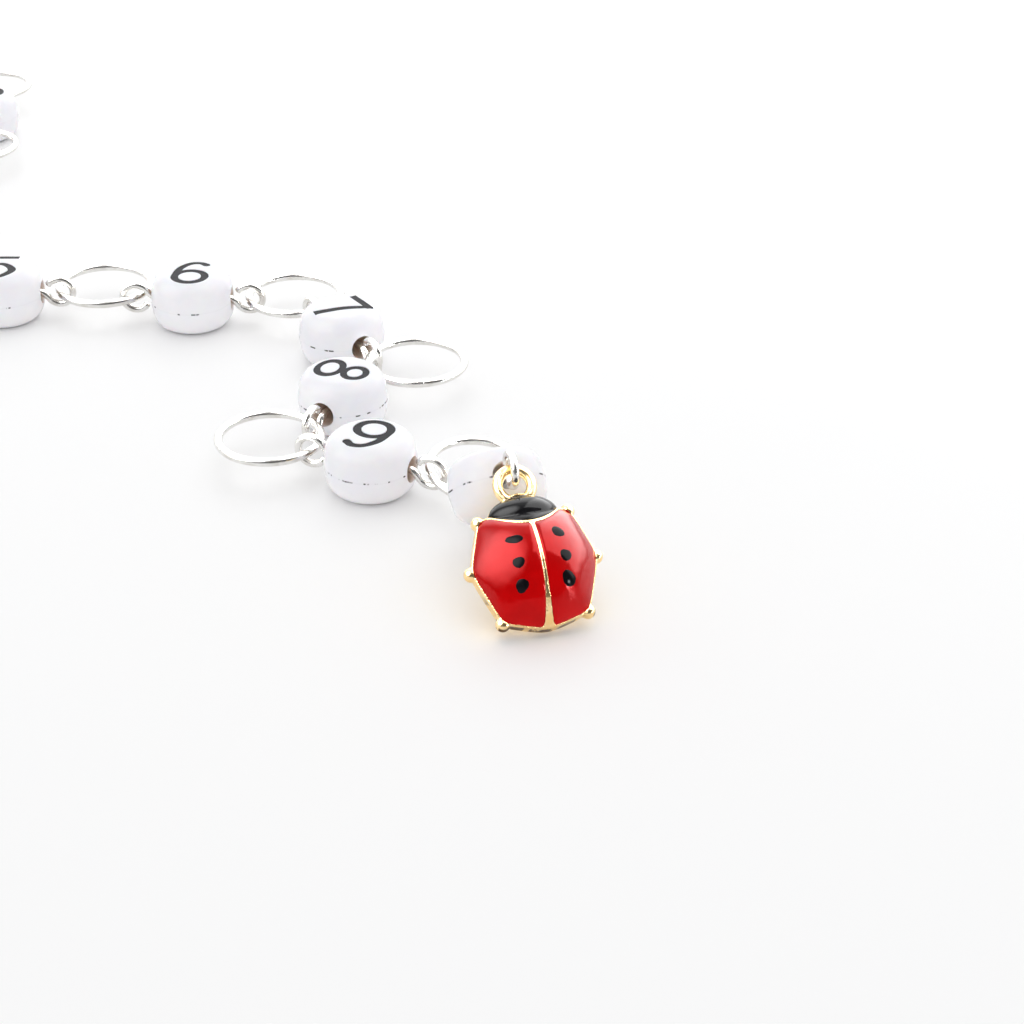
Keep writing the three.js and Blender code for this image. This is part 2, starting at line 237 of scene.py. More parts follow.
behind = (roomY + glossRoom["backLift"] * roomZ).band(*glossRoom["backFade"])
pastEdge = towardsRoom(glossRoom["rightSlope"]) - glossRoom["rightEdge"]
rightPane = pastEdge.band(-glossRoom["rightSoft"], glossRoom["rightSoft"])
rightPane = rightPane * roomX.band(*glossRoom["rightSide"]) * roomZ.band(*glossRoom["rightHorizon"])
rearPane = roomY.band(*glossRoom["rearFade"]) * roomX.band(*reversed(glossRoom["rightSide"]))
gloss = glossRoom["frontLevel"] + (glossRoom["backLevel"] - glossRoom["frontLevel"]) * behind
gloss = gloss + glossRoom["leftLevel"] * roundPane("left") + glossRoom["rightLevel"] * rightPane
gloss = gloss + glossRoom["rearLevel"] * rearPane + glossRoom["sparkLevel"] * roundPane("spark")
fill = studio["fillLevel"] * (1 - byGloss) * (1 - byCamera) * (1 - byGlass)
level = fill + byCamera + gloss * (byGloss + byGlass)
room.links.new(level.socket, backdrop.inputs["Strength"])

half = studio["floorSize"] / 2
floorMesh = bpy.data.meshes.new("floor")
floorCorners = [(-half, -half, 0), (half, -half, 0), (half, half, 0), (-half, half, 0)]
floorMesh.from_pydata(floorCorners, [], [(0, 1, 2, 3)])
floor = bpy.data.objects.new("floor", floorMesh)
scene.collection.objects.link(floor)
floor.location.z = -studio["floorDrop"] * metresPerMm
paleBoard = bpy.data.materials.new("paleBoard")
paleBoard.use_nodes = True
board = paleBoard.node_tree.nodes["Principled BSDF"]
board.inputs["Base Color"].default_value = studio["floorTint"]
board.inputs["Roughness"].default_value = studio["floorRoughness"]
board.inputs["Specular IOR Level"].default_value = studio["floorGloss"]
floorMesh.materials.append(paleBoard)
print("stage ready")


# meshes are made in millimetres until a piece is placed
def shape(name, points, faces):
    mesh = bpy.data.meshes.new(name)
    mesh.from_pydata(points, [], faces)
    mesh.update()
    made = bpy.data.objects.new(name, mesh)
    scene.collection.objects.link(made)
    return made


def applied(thing):
    graph = bpy.context.evaluated_depsgraph_get()
    mesh = bpy.data.meshes.new_from_object(thing.evaluated_get(graph))
    thing.modifiers.clear()
    thing.data = mesh
    return thing


def worked(thing, tools, operation):
    for tool in tools:
        change = thing.modifiers.new("cut", "BOOLEAN")
        change.operation = operation
        change.solver = "MANIFOLD"
        change.object = tool
    applied(thing)
    for tool in tools:
        bpy.data.objects.remove(tool)
    return thing


def copyOf(thing, name):
    made = bpy.data.objects.new(name, thing.data.copy())
    scene.collection.objects.link(made)
    return made


def piece(thing, place, sharpest, material, body, node):
    mesh = thing.data
    local = mesh.attributes.new("local", "FLOAT_VECTOR", "POINT")
    local.data.foreach_set("vector", [value for vertex in mesh.vertices for value in vertex.co])
    mesh.transform(place @ Matrix.Scale(metresPerMm, 4))
    mesh.shade_smooth()
    if sharpest:
        mesh.set_sharp_from_angle(angle=math.radians(sharpest))
    mesh.materials.clear()
    mesh.materials.append(material)
    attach(thing, body)
    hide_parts(node)


def aroundTurn(count):
    return [2 * math.pi * j / count for j in range(count)]


def loops(rows, closedAcross, closedAlong):  # quads between rows of equal length
    count = len(rows[0])
    faces = []
    for i in range(len(rows) - (0 if closedAlong else 1)):
        for j in range(count - (0 if closedAcross else 1)):
            here, below = i * count, (i + 1) % len(rows) * count
            beside = (j + 1) % count
            faces.append((here + j, here + beside, below + beside, below + j))
    return [point for row in rows for point in row], faces


def capped(name, rows, crown, base):  # rows from the crown down, closed by a point at each end
    points, faces = loops(rows, True, False)
    faces = [face[::-1] for face in faces]
    count = len(rows[0])
    top, bottom, last = len(points), len(points) + 1, len(points) - count
    for j in range(count):
        beside = (j + 1) % count
        faces.append((top, j, beside))
        faces.append((bottom, last + beside, last + j))
    return shape(name, points + [crown, base], faces)


def turned(name, profile, segments):  # profile of (radius, height), from the top's middle down
    rows = []
    for radius, height in profile[1:-1]:
        rows.append([(radius * math.cos(a), radius * math.sin(a), height)
                     for a in aroundTurn(segments)])
    return capped(name, rows, (0, 0, profile[0][1]), (0, 0, profile[-1][1]))


wireEnd = [(0.21, 0.94), (0.36, 0.75), (0.432, 0.4)]  # past the end and thickness, in wire radii


def wire(name, points, flat, radius, sides, closed):  # points lie in a plane with the normal flat
    points = [Vector(point) for point in points]
    rows = []
    for i, point in enumerate(points):
        before = points[i - 1] if i or closed else points[0]
        after = points[(i + 1) % len(points)] if i < len(points) - 1 or closed else points[-1]
        rows.append((point, (after - before).normalized(), radius))
    if not closed:
        (first, start, _), (last, end, _) = rows[0], rows[-1]
        rows = [(first - start * radius * past, start, radius * share)
                for past, share in reversed(wireEnd)] + rows
        rows += [(last + end * radius * past, end, radius * share) for past, share in wireEnd]
    rings = []
    for point, along, size in rows:
        side = flat.cross(along)
        rings.append([point + side * size * math.cos(a) + flat * size * math.sin(a)
                      for a in aroundTurn(sides)])
    found, faces = loops(rings, True, closed)
    if not closed:
        faces.append(tuple(reversed(range(sides))))
        faces.append(tuple(range(len(found) - sides, len(found))))
    return shape(name, found, faces)


def frameOf(place, along, upward):
    across = upward.cross(along).normalized()
    top = along.cross(across).normalized()
    made = Matrix((along, across, top)).transposed().to_4x4()
    made.translation = place
    return made


def beadPlace(number):
    spin = joints[f"bead_{number}_spin"]
    return frameOf(Vector(spin["pos_m"]), Vector(spin["axis"]).normalized(), up)


acrylicLook = {
    "shader": {"Subsurface Weight": 0.15, "Subsurface Scale": 0.0008, "Specular IOR Level": 0.1},
    "clear": (0.87, 0.868, 0.915),
    "cloudy": (0.915, 0.911, 0.94),
    "warmReflection": (0.92, 0.895, 0.89),  # a painted warm reflection, stronger lower down
    "warmReflectionFade": (0.2, -1.9),
    "warmReflectionShare": 0.35,
    "seamWander": 0.16,
    "seamEdge": (0.085, 0.025),
    "seamFrom": (3.25, 3.4),  # mm from the middle
    "seamShade": (0.5, 0.5, 0.53),
    "seamShare": 0.06,
    "seamInk": (0.035, 0.033, 0.04),
    "inkEdge": (0.56, 0.61),
    # painted shade and warm reflection inside the threading hole
    "hole": (0.66, 0.53, 0.43),
    "holeShadeEdge": (1.05, 0.88),
    "gloss": 0.15,
    "bump": 0.03,
}


def acrylicPaint(p, seed, inked):
    look = acrylicLook
    x, y, z = p.axis(0), p.axis(1), p.axis(2)
    outward = (x * x + y * y) ** 0.5
    fromHole = (y * y + z * z) ** 0.5
    body = p.noise(0.4, 3, seed).band(0.35, 0.68).tint(look["clear"], look["cloudy"])
    # painted reflection: the lower part of each bead is tinted warmer
    low = z.band(*look["warmReflectionFade"]) * look["warmReflectionShare"]
    body = low.tint(body, look["warmReflection"])
    wander = p.stretched(1, 1, 0).noise(0.9, 2, seed + 3.1)
    ragged = p.stretched(1, 1, 0.2).noise(1.15, 4, seed + 7.7, 0.62)
    seam = abs(z + look["seamWander"] * (wander - 0.5)).band(*look["seamEdge"])
    seam = seam * outward.band(*look["seamFrom"])
    ink = seam * (ragged + inked).band(*look["inkEdge"])  # left behind in the parting line
    body = (seam * look["seamShare"]).tint(body, look["seamShade"])
    body = ink.tint(body, look["seamInk"])
    # painted shade and reflection: darker, warmer colour inside the hole
    body = fromHole.band(*look["holeShadeEdge"]).tint(body, look["hole"])
    scuffs = p.stretched(0.5, 7, 7).noise(1.4, 3, seed + 1.3).band(0.62, 0.72)
    rough = look["gloss"] + 0.14 * p.noise(2.3, 2, seed + 5) + 0.16 * scuffs + 0.2 * ink
    height = 0.7 * p.noise(0.8, 2, seed + 2) + 0.12 * p.noise(7, 3, seed)
    height = height - 0.12 * scuffs - 0.1 * seam
    return {"Base Color": body, "Roughness": rough, "Normal": height.bump(look["bump"])}


inkLook = {
    "shader": {"Specular IOR Level": 0.07},
    "fresh": (0.014, 0.014, 0.017),
    "worn": (0.075, 0.075, 0.085),
    "wornShare": 0.5,
    "gloss": 0.34,
    "bump": 0.025,
}


def inkPaint(p, seed):
    worn = p.noise(2.6, 4, seed, 0.6).band(0.6, 0.8) * inkLook["wornShare"]
    body = worn.tint(inkLook["fresh"], inkLook["worn"])
    rough = inkLook["gloss"] + 0.2 * p.noise(3.5, 3, seed)
    height = p.noise(4, 4, seed + 4)
    return {"Base Color": body, "Roughness": rough, "Normal": height.bump(inkLook["bump"])}


silverLook = {
    "shader": {"Metallic": 1.0},
    "bright": (0.82, 0.81, 0.79),
    "dull": (0.64, 0.61, 0.57),
    "gloss": 0.1,
    "bump": 0.02,
}


def silverPaint(p, seed):
    dull = p.noise(0.7, 4, seed, 0.6)
    body = dull.band(0.4, 0.75).tint(silverLook["bright"], silverLook["dull"])
    drawn = p.noise(9, 3, seed + 2)
    nicks = p.noise(3.2, 2, seed + 6).band(0.68, 0.76)
    rough = silverLook["gloss"] + 0.16 * dull + 0.1 * drawn
    height = 0.35 * drawn + 0.4 * p.noise(1.6, 2, seed) - 0.5 * nicks
    return {"Base Color": body, "Roughness": rough, "Normal": height.bump(silverLook["bump"])}


goldLook = {
    "shader": {"Metallic": 1.0},
    "bright": (0.99, 0.77, 0.42),
    "deep": (0.93, 0.64, 0.28),
    "pit": (0.38, 0.2, 0.05),
    "pitShare": 0.55,
    "wallEdge": (1.25, 0.95),  # mm above the back
    "tailEdge": (-1.2, -2.8),  # mm along the charm
    "grooveShade": (0.07, 0.026, 0.006),  # painted shade in the grooves along the tail's wall
    "grooveShadeShare": 0.96,
    "dashHeight": 0.52,
    "dashFade": (0.36, 0.22),
    "dashEdge": (0.46, 0.52),
    "gloss": 0.11,
    "bump": 0.05,
}


def goldPaint(p):
    look = goldLook
    y, z = p.axis(1), p.axis(2)
    cast = p.noise(1.1, 3, 2.2)
    pits = p.noise(3.1, 3, 8.1).band(0.62, 0.74)
    body = cast.band(0.35, 0.7).tint(look["bright"], look["deep"])
    body = (pits * look["pitShare"]).tint(body, look["pit"])
    dents = z.band(*look["wallEdge"]) * p.stretched(1, 1, 0.6).cells(1.5)
    streaks = p.stretched(1, 1, 0.3).noise(1.7, 3, 5.5).band(*look["dashEdge"])
    # painted shade: grooves along the tail's wall, sunk by the bump and coloured dark
    shadedGrooves = abs(z - look["dashHeight"]).band(*look["dashFade"]) * streaks
    shadedGrooves = shadedGrooves * y.band(*look["tailEdge"])
    body = (shadedGrooves * look["grooveShadeShare"]).tint(body, look["grooveShade"])
    rough = look["gloss"] + 0.16 * cast + 0.2 * pits
    height = 0.4 * cast + 0.9 * dents - 0.5 * pits - 0.6 * shadedGrooves + 0.1 * p.noise(11, 2, 3)
    return {"Base Color": body, "Roughness": rough, "Normal": height.bump(look["bump"])}


redLook = {
    "shader": {"Specular IOR Level": 0.75, "Specular Tint": (1, 0.15, 0.15, 1)},
    "bright": (0.56, 0.0006, 0.0014),
    "deep": (0.47, 0.0004, 0.0009),
    "speck": (0.64, 0.006, 0.006),
    "speckShare": 0.4,
    "gloss": 0.06,
    "bump": 0.05,
}


def redPaint(p, seed):
    body = p.noise(0.5, 3, seed).band(0.35, 0.7).tint(redLook["bright"], redLook["deep"])
    specks = p.noise(8, 3, seed + 2).band(0.68, 0.78) * redLook["speckShare"]
    body = specks.tint(body, redLook["speck"])
    rough = redLook["gloss"] + 0.09 * p.noise(1.7, 3, seed + 4)
    height = p.noise(0.75, 1, seed + 6) + 0.05 * p.noise(6, 2, seed)
    return {"Base Color": body, "Roughness": rough, "Normal": height.bump(redLook["bump"])}


blackLook = {
    "headShader": {"Specular IOR Level": 0.19},
    "spotShader": {"Specular IOR Level": 0.06},
    "deep": (0.004, 0.004, 0.005),
    "hazy": (0.014, 0.013, 0.016),
    "gloss": 0.05,
    "bump": 0.045,
}


def blackPaint(p, seed):
    body = p.noise(0.9, 3, seed).band(0.35, 0.75).tint(blackLook["deep"], blackLook["hazy"])
    rough = blackLook["gloss"] + 0.1 * p.noise(1.9, 3, seed + 4)
    height = p.noise(0.9, 1, seed + 6) + 0.06 * p.noise(7, 2, seed)
    return {"Base Color": body, "Roughness": rough, "Normal": height.bump(blackLook["bump"])}


# the last value is each finish's own place in the noise
silverWire = [finish(f"silverWire{i}", silverLook["shader"], silverPaint, 3.7 * i)
              for i in range(3)]
silverRing = [finish(f"silverRing{i}", silverLook["shader"], silverPaint, 11.3 + 2.9 * i)
              for i in range(3)]
goldPlate = finish("goldPlate", goldLook["shader"], goldPaint)
redEnamel = {
    "left": finish("redEnamelLeft", redLook["shader"], redPaint, 1.7),
    "right": finish("redEnamelRight", redLook["shader"], redPaint, 6.4),
}
blackEnamel = finish("blackEnamel", blackLook["headShader"], blackPaint, 4.2)
spotEnamel = finish("spotEnamel", blackLook["spotShader"], blackPaint, 9.6)
print("finishes ready")


bead = {
    "radius": 3.485,
    "half": 2.3,
    "rim": 1.4,
    "rimSteps": 10,
    "draft": 0.11,
    "faceRing": 0.9,  # a loop of points in the flat face, and two more just inside its rim
    "faceEdges": (0.25, 0.03),
    "belly": [(0.022, 0.3), (0.006, 0.1), (0.0, 0.02)],  # how far in the side lies, by height
    "segments": 128,
    "hole": 0.9,
    "holeSides": 64,
    "flare": 0.24,
    "flareSteps": 6,
    "flareFrom": 3.62,
    "flareLength": 0.75,
    "cutterReach": 4.4,
    "figureHeight": 4.7,
    "pen": 0.7,  # share of the pen widths below
    "penSteps": 12,
    "penEnd": (0.35, 0.65, 0.85, 0.97),
    "straightSteps": 4,
    "bowlSteps": 72,
    "recess": 0.32,
    "cutAbove": 0.3,
    "strokeStep": 0.003,  # each stroke ends a little higher, so that no two tops coincide
    "inkTop": 2.25,
    "inkGap": 0.015,
    "inkBed": 0.01,
    "inked": {9: 0.05, 0: 0.05},  # beads with more ink left in the parting line
    "sharpest": 38,
}


def drumProfile():
    radius, top, rim = bead["radius"], bead["half"], bead["rim"]
    flat = radius - bead["draft"] - rim
    upper = [(0, top), (bead["faceRing"], top)]
    upper += [(flat - inset, top) for inset in bead["faceEdges"]]
    for i in range(bead["rimSteps"] + 1):
        angle = math.pi / 2 * (1 - i / bead["rimSteps"])
        upper.append((flat + rim * math.cos(angle), top - rim * (1 - math.sin(angle))))
    upper += [(radius - inset, height) for inset, height in bead["belly"]]
    return upper + [(out, -height) for out, height in reversed(upper)]


def holeCutter():
    hole, flare, reach = bead["hole"], bead["flare"], bead["cutterReach"]
    profile = [(0, reach), (hole + flare, reach), (hole + flare, bead["flareFrom"])]
    for i in range(1, bead["flareSteps"] + 1):
        share = i / bead["flareSteps"]
        height = bead["flareFrom"] - bead["flareLength"] * share
        profile.append((hole + flare * (1 - share) ** 2, height))
    profile += [(radius, -height) for radius, height in reversed(profile)]
    cutter = turned("holeCutter", profile, bead["holeSides"])
    cutter.data.transform(Matrix.Rotation(math.pi / 2, 4, "Y"))
    return cutter


# pen strokes as (across, up, pen width) in shares of the figure's height, with flat or round ends;
# a bowl is its middle, its two half widths and the pen's width at the sides and at the top
six = [
    ("bowl", (0, -0.165, 0.27, 0.245, 0.19, 0.17)),
    ("round", [(0.24, 0.34, 0.19), (0.12, 0.415, 0.16), (-0.06, 0.38, 0.16), (-0.215, 0.17, 0.18),
               (-0.27, -0.14, 0.19)]),
]


def halfTurned(strokes):
    made = []
    for kind, pen in strokes:
        if kind == "bowl":
            made.append((kind, (-pen[0], -pen[1], *pen[2:])))
        else:
            made.append((kind, [(-x, -y, width) for x, y, width in pen]))
    return made


figures = [
    [("bowl", (0, 0, 0.26, 0.415, 0.2, 0.16))],
    [
        ("flat", [(0.03, 0.49, 0.2), (0.03, -0.45, 0.2)]),
        ("flat", [(-0.2, -0.43, 0.14), (0.26, -0.43, 0.14)]),
        ("flat", [(0.03, 0.42, 0.15), (-0.19, 0.29, 0.13)]),
    ],
    [
        ("round", [(-0.24, 0.23, 0.18), (-0.13, 0.39, 0.16), (0.1, 0.4, 0.17), (0.22, 0.2, 0.19),
                   (0.06, -0.08, 0.17), (-0.22, -0.4, 0.16)]),
        ("flat", [(-0.3, -0.415, 0.17), (0.3, -0.415, 0.17)]),
    ],
    [
        ("round", [(-0.24, 0.27, 0.18), (-0.06, 0.41, 0.16), (0.18, 0.24, 0.19),
                   (-0.07, 0.05, 0.15)]),
        ("round", [(-0.07, 0.05, 0.15), (0.23, -0.18, 0.2), (0.0, -0.415, 0.16),
                   (-0.26, -0.26, 0.18)]),
    ],
    [
        ("flat", [(0.1, 0.45, 0.15), (-0.28, -0.16, 0.15)]),
        ("flat", [(-0.33, -0.18, 0.15), (0.33, -0.18, 0.15)]),
        ("flat", [(0.12, 0.49, 0.19), (0.12, -0.49, 0.19)]),
    ],
    [
        ("flat", [(-0.23, 0.415, 0.17), (0.27, 0.415, 0.17)]),
        ("flat", [(-0.17, 0.42, 0.14), (-0.2, 0.04, 0.14)]),
        ("round", [(-0.2, 0.06, 0.14), (0.04, 0.12, 0.16), (0.23, -0.14, 0.2), (0.02, -0.415, 0.16),
                   (-0.26, -0.28, 0.18)]),
    ],
    six,
    [
        ("flat", [(-0.3, 0.41, 0.18), (0.3, 0.41, 0.18)]),
        ("flat", [(0.25, 0.4, 0.15), (0.05, 0.02, 0.18), (-0.06, -0.49, 0.2)]),
    ],
    [("bowl", (0, 0.24, 0.2, 0.18, 0.17, 0.15)), ("bowl", (0, -0.22, 0.26, 0.2, 0.19, 0.15))],
    halfTurned(six),
]


def curveThrough(points):  # a smooth curve through (across, up, width)
    held = [Vector(point) for point in points]
    if len(held) == 2:
        steps = bead["straightSteps"]
        return [held[0].lerp(held[1], i / steps) for i in range(steps + 1)]
    held = [2 * held[0] - held[1]] + held + [2 * held[-1] - held[-2]]
    made = []
    for i in range(1, len(held) - 2):
        a, b, c, d = held[i - 1:i + 3]
        for k in range(bead["penSteps"]):
            t = k / bead["penSteps"]
            made.append(0.5 * (2 * b + (c - a) * t + (2 * a - 5 * b + 4 * c - d) * t * t
                               + (3 * b - a - 3 * c + d) * t * t * t))
    return made + [held[-2]]


def bowlShape(name, pen, grow, low, high):
    x, y, wide, tall, thick, thin = (share * bead["figureHeight"] for share in pen)
    side, top = thick * bead["pen"] / 2, thin * bead["pen"] / 2
    rows = []
    for a in aroundTurn(bead["bowlSteps"]):
        outer = (x + (wide + side + grow) * math.cos(a), y + (tall + top + grow) * math.sin(a))
        inner = (x + (wide - side - grow) * math.cos(a), y + (tall - top - grow) * math.sin(a))
        rows.append([(*outer, low), (*outer, high), (*inner, high), (*inner, low)])
    points, faces = loops(rows, True, True)
    return shape(name, points, [face[::-1] for face in faces])


def strokeShape(name, kind, pen, grow, low, high):
    path = [point * bead["figureHeight"] for point in curveThrough(pen)]
    end = len(path) - 1
    rows = []
    for i, point in enumerate(path):
        along = (path[min(i + 1, end)] - path[max(i - 1, 0)]).to_2d().normalized()
        reach = point.z * bead["pen"] / 2 + grow
        sign = -1 if i == 0 else 1 if i == end else 0
        steps = [(sign * grow, reach)]
        if kind == "round" and sign:
            steps += [(sign * reach * u, reach * math.sqrt(1 - u * u)) for u in bead["penEnd"]]
            steps = steps[::-1] if i == 0 else steps
        for ahead, halfPen in steps:
            middle = point.to_2d() + along * ahead
            across = Vector((-along.y, along.x)) * halfPen
            left, right = middle + across, middle - across
            rows.append([(*left, low), (*left, high), (*right, high), (*right, low)])
    points, faces = loops(rows, True, False)
    last = len(points)
    faces += [(3, 2, 1, 0), (last - 4, last - 3, last - 2, last - 1)]
    return shape(name, points, faces)


def figureShape(name, number, grow, low, high):
    strokes = []
    for i, (kind, pen) in enumerate(figures[number]):
        top = high + bead["strokeStep"] * i
        if kind == "bowl":
            strokes.append(bowlShape(f"{name}{i}", pen, grow, low, top))
        else:
            strokes.append(strokeShape(f"{name}{i}", kind, pen, grow, low, top))
    return worked(strokes[0], strokes[1:], "UNION") if strokes[1:] else strokes[0]


blank = worked(turned("beadBlank", drumProfile(), bead["segments"]), [holeCutter()], "DIFFERENCE")
figureFloor = bead["half"] - bead["recess"]
for number in range(10):
    body = f"bead_{number}"
    sunk = figureShape("sunk", number, bead["inkGap"], figureFloor, bead["half"] + bead["cutAbove"])
    drum = worked(copyOf(blank, f"acrylicBead{number}"), [sunk], "DIFFERENCE")
    acrylic = finish(f"acrylic{number}", acrylicLook["shader"], acrylicPaint, 5.3 * number,
                     bead["inked"].get(number, 0.0))
    piece(drum, beadPlace(number), bead["sharpest"], acrylic, body, body)
    inlay = figureShape("inlay", number, 0, figureFloor + bead["inkBed"], bead["inkTop"])
    inlay.name = f"inkFigure{number}"
    figureInk = finish(f"figureInk{number}", inkLook["shader"], inkPaint, 2.7 * number)
    piece(inlay, beadPlace(number), bead["sharpest"], figureInk, body,
          f"numeral_{number}")
bpy.data.objects.remove(blank)
print("beads and figures ready")


pin = {
    "wire": 0.288,
    "loop": 1.112,
    "reach": 4.775,  # from the bead's middle to the loop's
    "mouth": 0.72,  # left open where the loop's end comes round
    "leave": 0.62,  # radians round the loop where the neck joins it
    "neck": 0.55,
    "neckSteps": 6,
    "loopSteps": 48,
    "sides": 18,
    "sharpest": 50,
}


def pinPath():
    loop, reach = pin["loop"], pin["reach"]
    begin = math.pi + pin["leave"]
    start = Vector((reach + loop * math.cos(begin), 0, loop * math.sin(begin)))
    heading = Vector((-math.sin(begin), 0, math.cos(begin)))
    corner = start - heading * (start.z / heading.z)
    shaft = corner - Vector((pin["neck"], 0, 0))
    near = []
    for i in range(pin["neckSteps"] + 1):
        t = i / pin["neckSteps"]
        near.append(shaft * (1 - t) ** 2 + corner * 2 * t * (1 - t) + start * t * t)
    opening = 2 * math.asin(pin["mouth"] / (2 * loop))
    turn = 2 * math.pi - pin["leave"] - opening
    for i in range(1, pin["loopSteps"] + 1):
        angle = begin + turn * i / pin["loopSteps"]
        near.append(Vector((reach + loop * math.cos(angle), 0, loop * math.sin(angle))))
    return [-point for point in reversed(near)] + near


for number in range(10):
    eyePin = wire(f"eyePin{number}", pinPath(), Vector((0, 1, 0)), pin["wire"], pin["sides"], False)
    piece(eyePin, beadPlace(number), pin["sharpest"], silverWire[number % 3],
          f"pin_{number}", f"pin_{number}")
print("eye pins ready")


ring = {
    "radius": 3.845,
    "wire": 0.325,
    "joint": 0.035,  # half the slit between the wire's cut ends
    "firstCut": 2.1,  # radians round the ring, and how far on each next ring has it
    "nextCut": 0.9,
    "sides": 22,
    "steps": 120,
    "sharpest": 50,
}


def ringPlace(name):
    swing = joints[f"{name}_swing"]
    low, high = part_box(name)
    middle = (low + high) / 2
    outward = (Vector(swing["pos_m"]) - middle).normalized()
    normal = outward.cross(Vector(swing["axis"])).normalized()
    return frameOf(middle, outward, normal if normal.z > 0 else -normal)


ringNames = sorted(name for name in frame["nodes"] if name.startswith("ring_"))
slit = ring["joint"] / ring["radius"]
for i, name in enumerate(ringNames):
    begin = ring["firstCut"] + ring["nextCut"] * i + slit
    arc = [begin + (2 * math.pi - 2 * slit) * k / ring["steps"] for k in range(ring["steps"] + 1)]
    path = [(ring["radius"] * math.cos(a), ring["radius"] * math.sin(a), 0) for a in arc]
    band = wire(f"silverRing_{name[5:]}", path, up, ring["wire"], ring["sides"], False)
    piece(band, ringPlace(name), ring["sharpest"], silverRing[i % 3], name, name)
print("rings ready")


# ladybird charm: X across, Y towards the bail, Z out of the enamelled face, its back on z = 0
charm = {
    "halfWidth": 4.35,
    "halfLength": 4.6,
    "corners": [(0, 0.9), (0.72, 0.75), (1, 0), (0.68, -0.81), (0, -1)],  # shares, brow to tail
    "crisp": 20,
    "wall": 0.9,
    "rise": 2.5,
    "full": 0.8,
    "crownHalfWidth": 4.05,
    "crownHalfLength": 4.45,
    "crownReach": 6,
    "headHalfWidth": 2.45,
    "headHalfLength": 1.45,
    "headCentre": 3.5,
    "headRise": 1.5,
    "shoulder": 3.65,
    "sag": 1.2,
    "rim": 0.12,
    "browCut": 0.1,  # past the head's edge, so that its enamel runs right out
    "ridge": 0.24,
    "tailWedge": 0.72,
    "wedgeBend": 3,
    "cellMiddles": {"left": (-1.9, -0.3), "right": (1.9, -0.3), "head": (0.0, 3.8)},
    "cellFloor": 0.7,
    "cellTop": 6,
    "backEdge": 0.18,  # height and share of the eased edge round the back
    "backShare": 0.96,
    "bailRadius": 1.175,
    "bailWire": 0.375,
    "bailCentre": 5.9,
    "bailSteps": 72,
    "bailSides": 20,
    "bailRoot": (0, 4.82, 0.5),
    "bailRootSize": (0.8, 0.45, 0.45),
    "footRadius": 0.51,
    "footHalf": 0.55,
    "nubRows": 14,
    "nubSides": 28,
    "edgeSteps": 20,
    "headSteps": 144,
    "spokes": 240,
    "rows": (0.1, 0.25, 0.4, 0.52, 0.63, 0.72, 0.8, 0.86, 0.91, 0.95, 0.98, 1.0),
    "voxel": 0.055,
    "softening": 0.5,
    "softenings": 2,
}
drawOut = 2 ** (1 / charm["crisp"])
rightCorners = [Vector((x * charm["halfWidth"], y * charm["halfLength"])) * drawOut
                for x, y in charm["corners"]]
bodyRing = (rightCorners + [Vector((-p.x, p.y)) for p in reversed(rightCorners[1:-1])])[::-1]
bodySides = list(zip(bodyRing, bodyRing[1:] + bodyRing[:1]))
bodyEdges = []
for start, end in bodySides:
    outward = Vector((end.y - start.y, start.x - end.x)).normalized()
    bodyEdges.append((outward, outward.dot(start)))


def outwards(x, y, margin):  # 0 in the body's middle, 1 on its outline drawn in by the margin
    shares = [max((out.x * x + out.y * y) / (far - margin), 0) for out, far in bodyEdges]
    return sum(share ** charm["crisp"] for share in shares) ** (1 / charm["crisp"])


def bodyOutline():
    made = []
    for start, end in bodySides:
        for k in range(charm["edgeSteps"]):
            at = start.lerp(end, k / charm["edgeSteps"])
            made.append(at / outwards(at.x, at.y, 0))
    return made


def shoulderAt(x):
    return charm["shoulder"] - charm["sag"] * max(1 - (x / charm["headHalfWidth"]) ** 2, 0)


def domeHeight(share, rise):
    return charm["wall"] + rise * max(1 - share * share, 0) ** charm["full"]


def wingHeight(x, y):  # a smooth crown that takes on the outline's corners only towards its rim
    share = outwards(x, y, 0)
    crown = math.hypot(x / charm["crownHalfWidth"], y / charm["crownHalfLength"])
    smooth = max(1 - share ** charm["crownReach"], 0)
    return domeHeight(share + (crown - share) * smooth, charm["rise"])


def browHeight(x, y):
    across = x / charm["headHalfWidth"]
    along = (y - charm["headCentre"]) / charm["headHalfLength"]
    return domeHeight(math.hypot(across, along), charm["headRise"])


def headHeight(x, y):
    return max(browHeight(x, y), wingHeight(x, y))


def wingCell(side, gap):
    near = charm["ridge"] / 2 + gap
    tail = charm["tailWedge"] / 2 + gap

    def inside(x, y):
        towardsTail = max(-y / charm["halfLength"], 0) ** charm["wedgeBend"]
        seam = near + (tail - near) * towardsTail
        inRim = outwards(x, y, charm["rim"] + gap) < 1
        return inRim and side * x > seam and y < shoulderAt(x) - near
    return inside


def headCell(inset, gap):
    def inside(x, y):
        wide = x / (charm["headHalfWidth"] - inset)
        tall = (y - charm["headCentre"]) / (charm["headHalfLength"] - inset)
        return wide * wide + tall * tall < 1 and y > shoulderAt(x) + charm["ridge"] / 2 + gap
    return inside


def edgeOf(inside, middle):  # distance to the cell's edge on each spoke, its corners eased
    stride, halvings = 0.1, 24
    found = []
    for a in aroundTurn(charm["spokes"]):
        def reaches(distance):
            return inside(middle[0] + distance * math.cos(a), middle[1] + distance * math.sin(a))
        near = 0.0
        while reaches(near + stride):
            near += stride
        far = near + stride
        for _ in range(halvings):
            half = (near + far) / 2
            if reaches(half):
                near = half
            else:
                far = half
        found.append(near)
    beside = zip(found[-1:] + found[:-1], found, found[1:] + found[:1])
    return [min(own, (before + own + after) / 3) for before, own, after in beside]


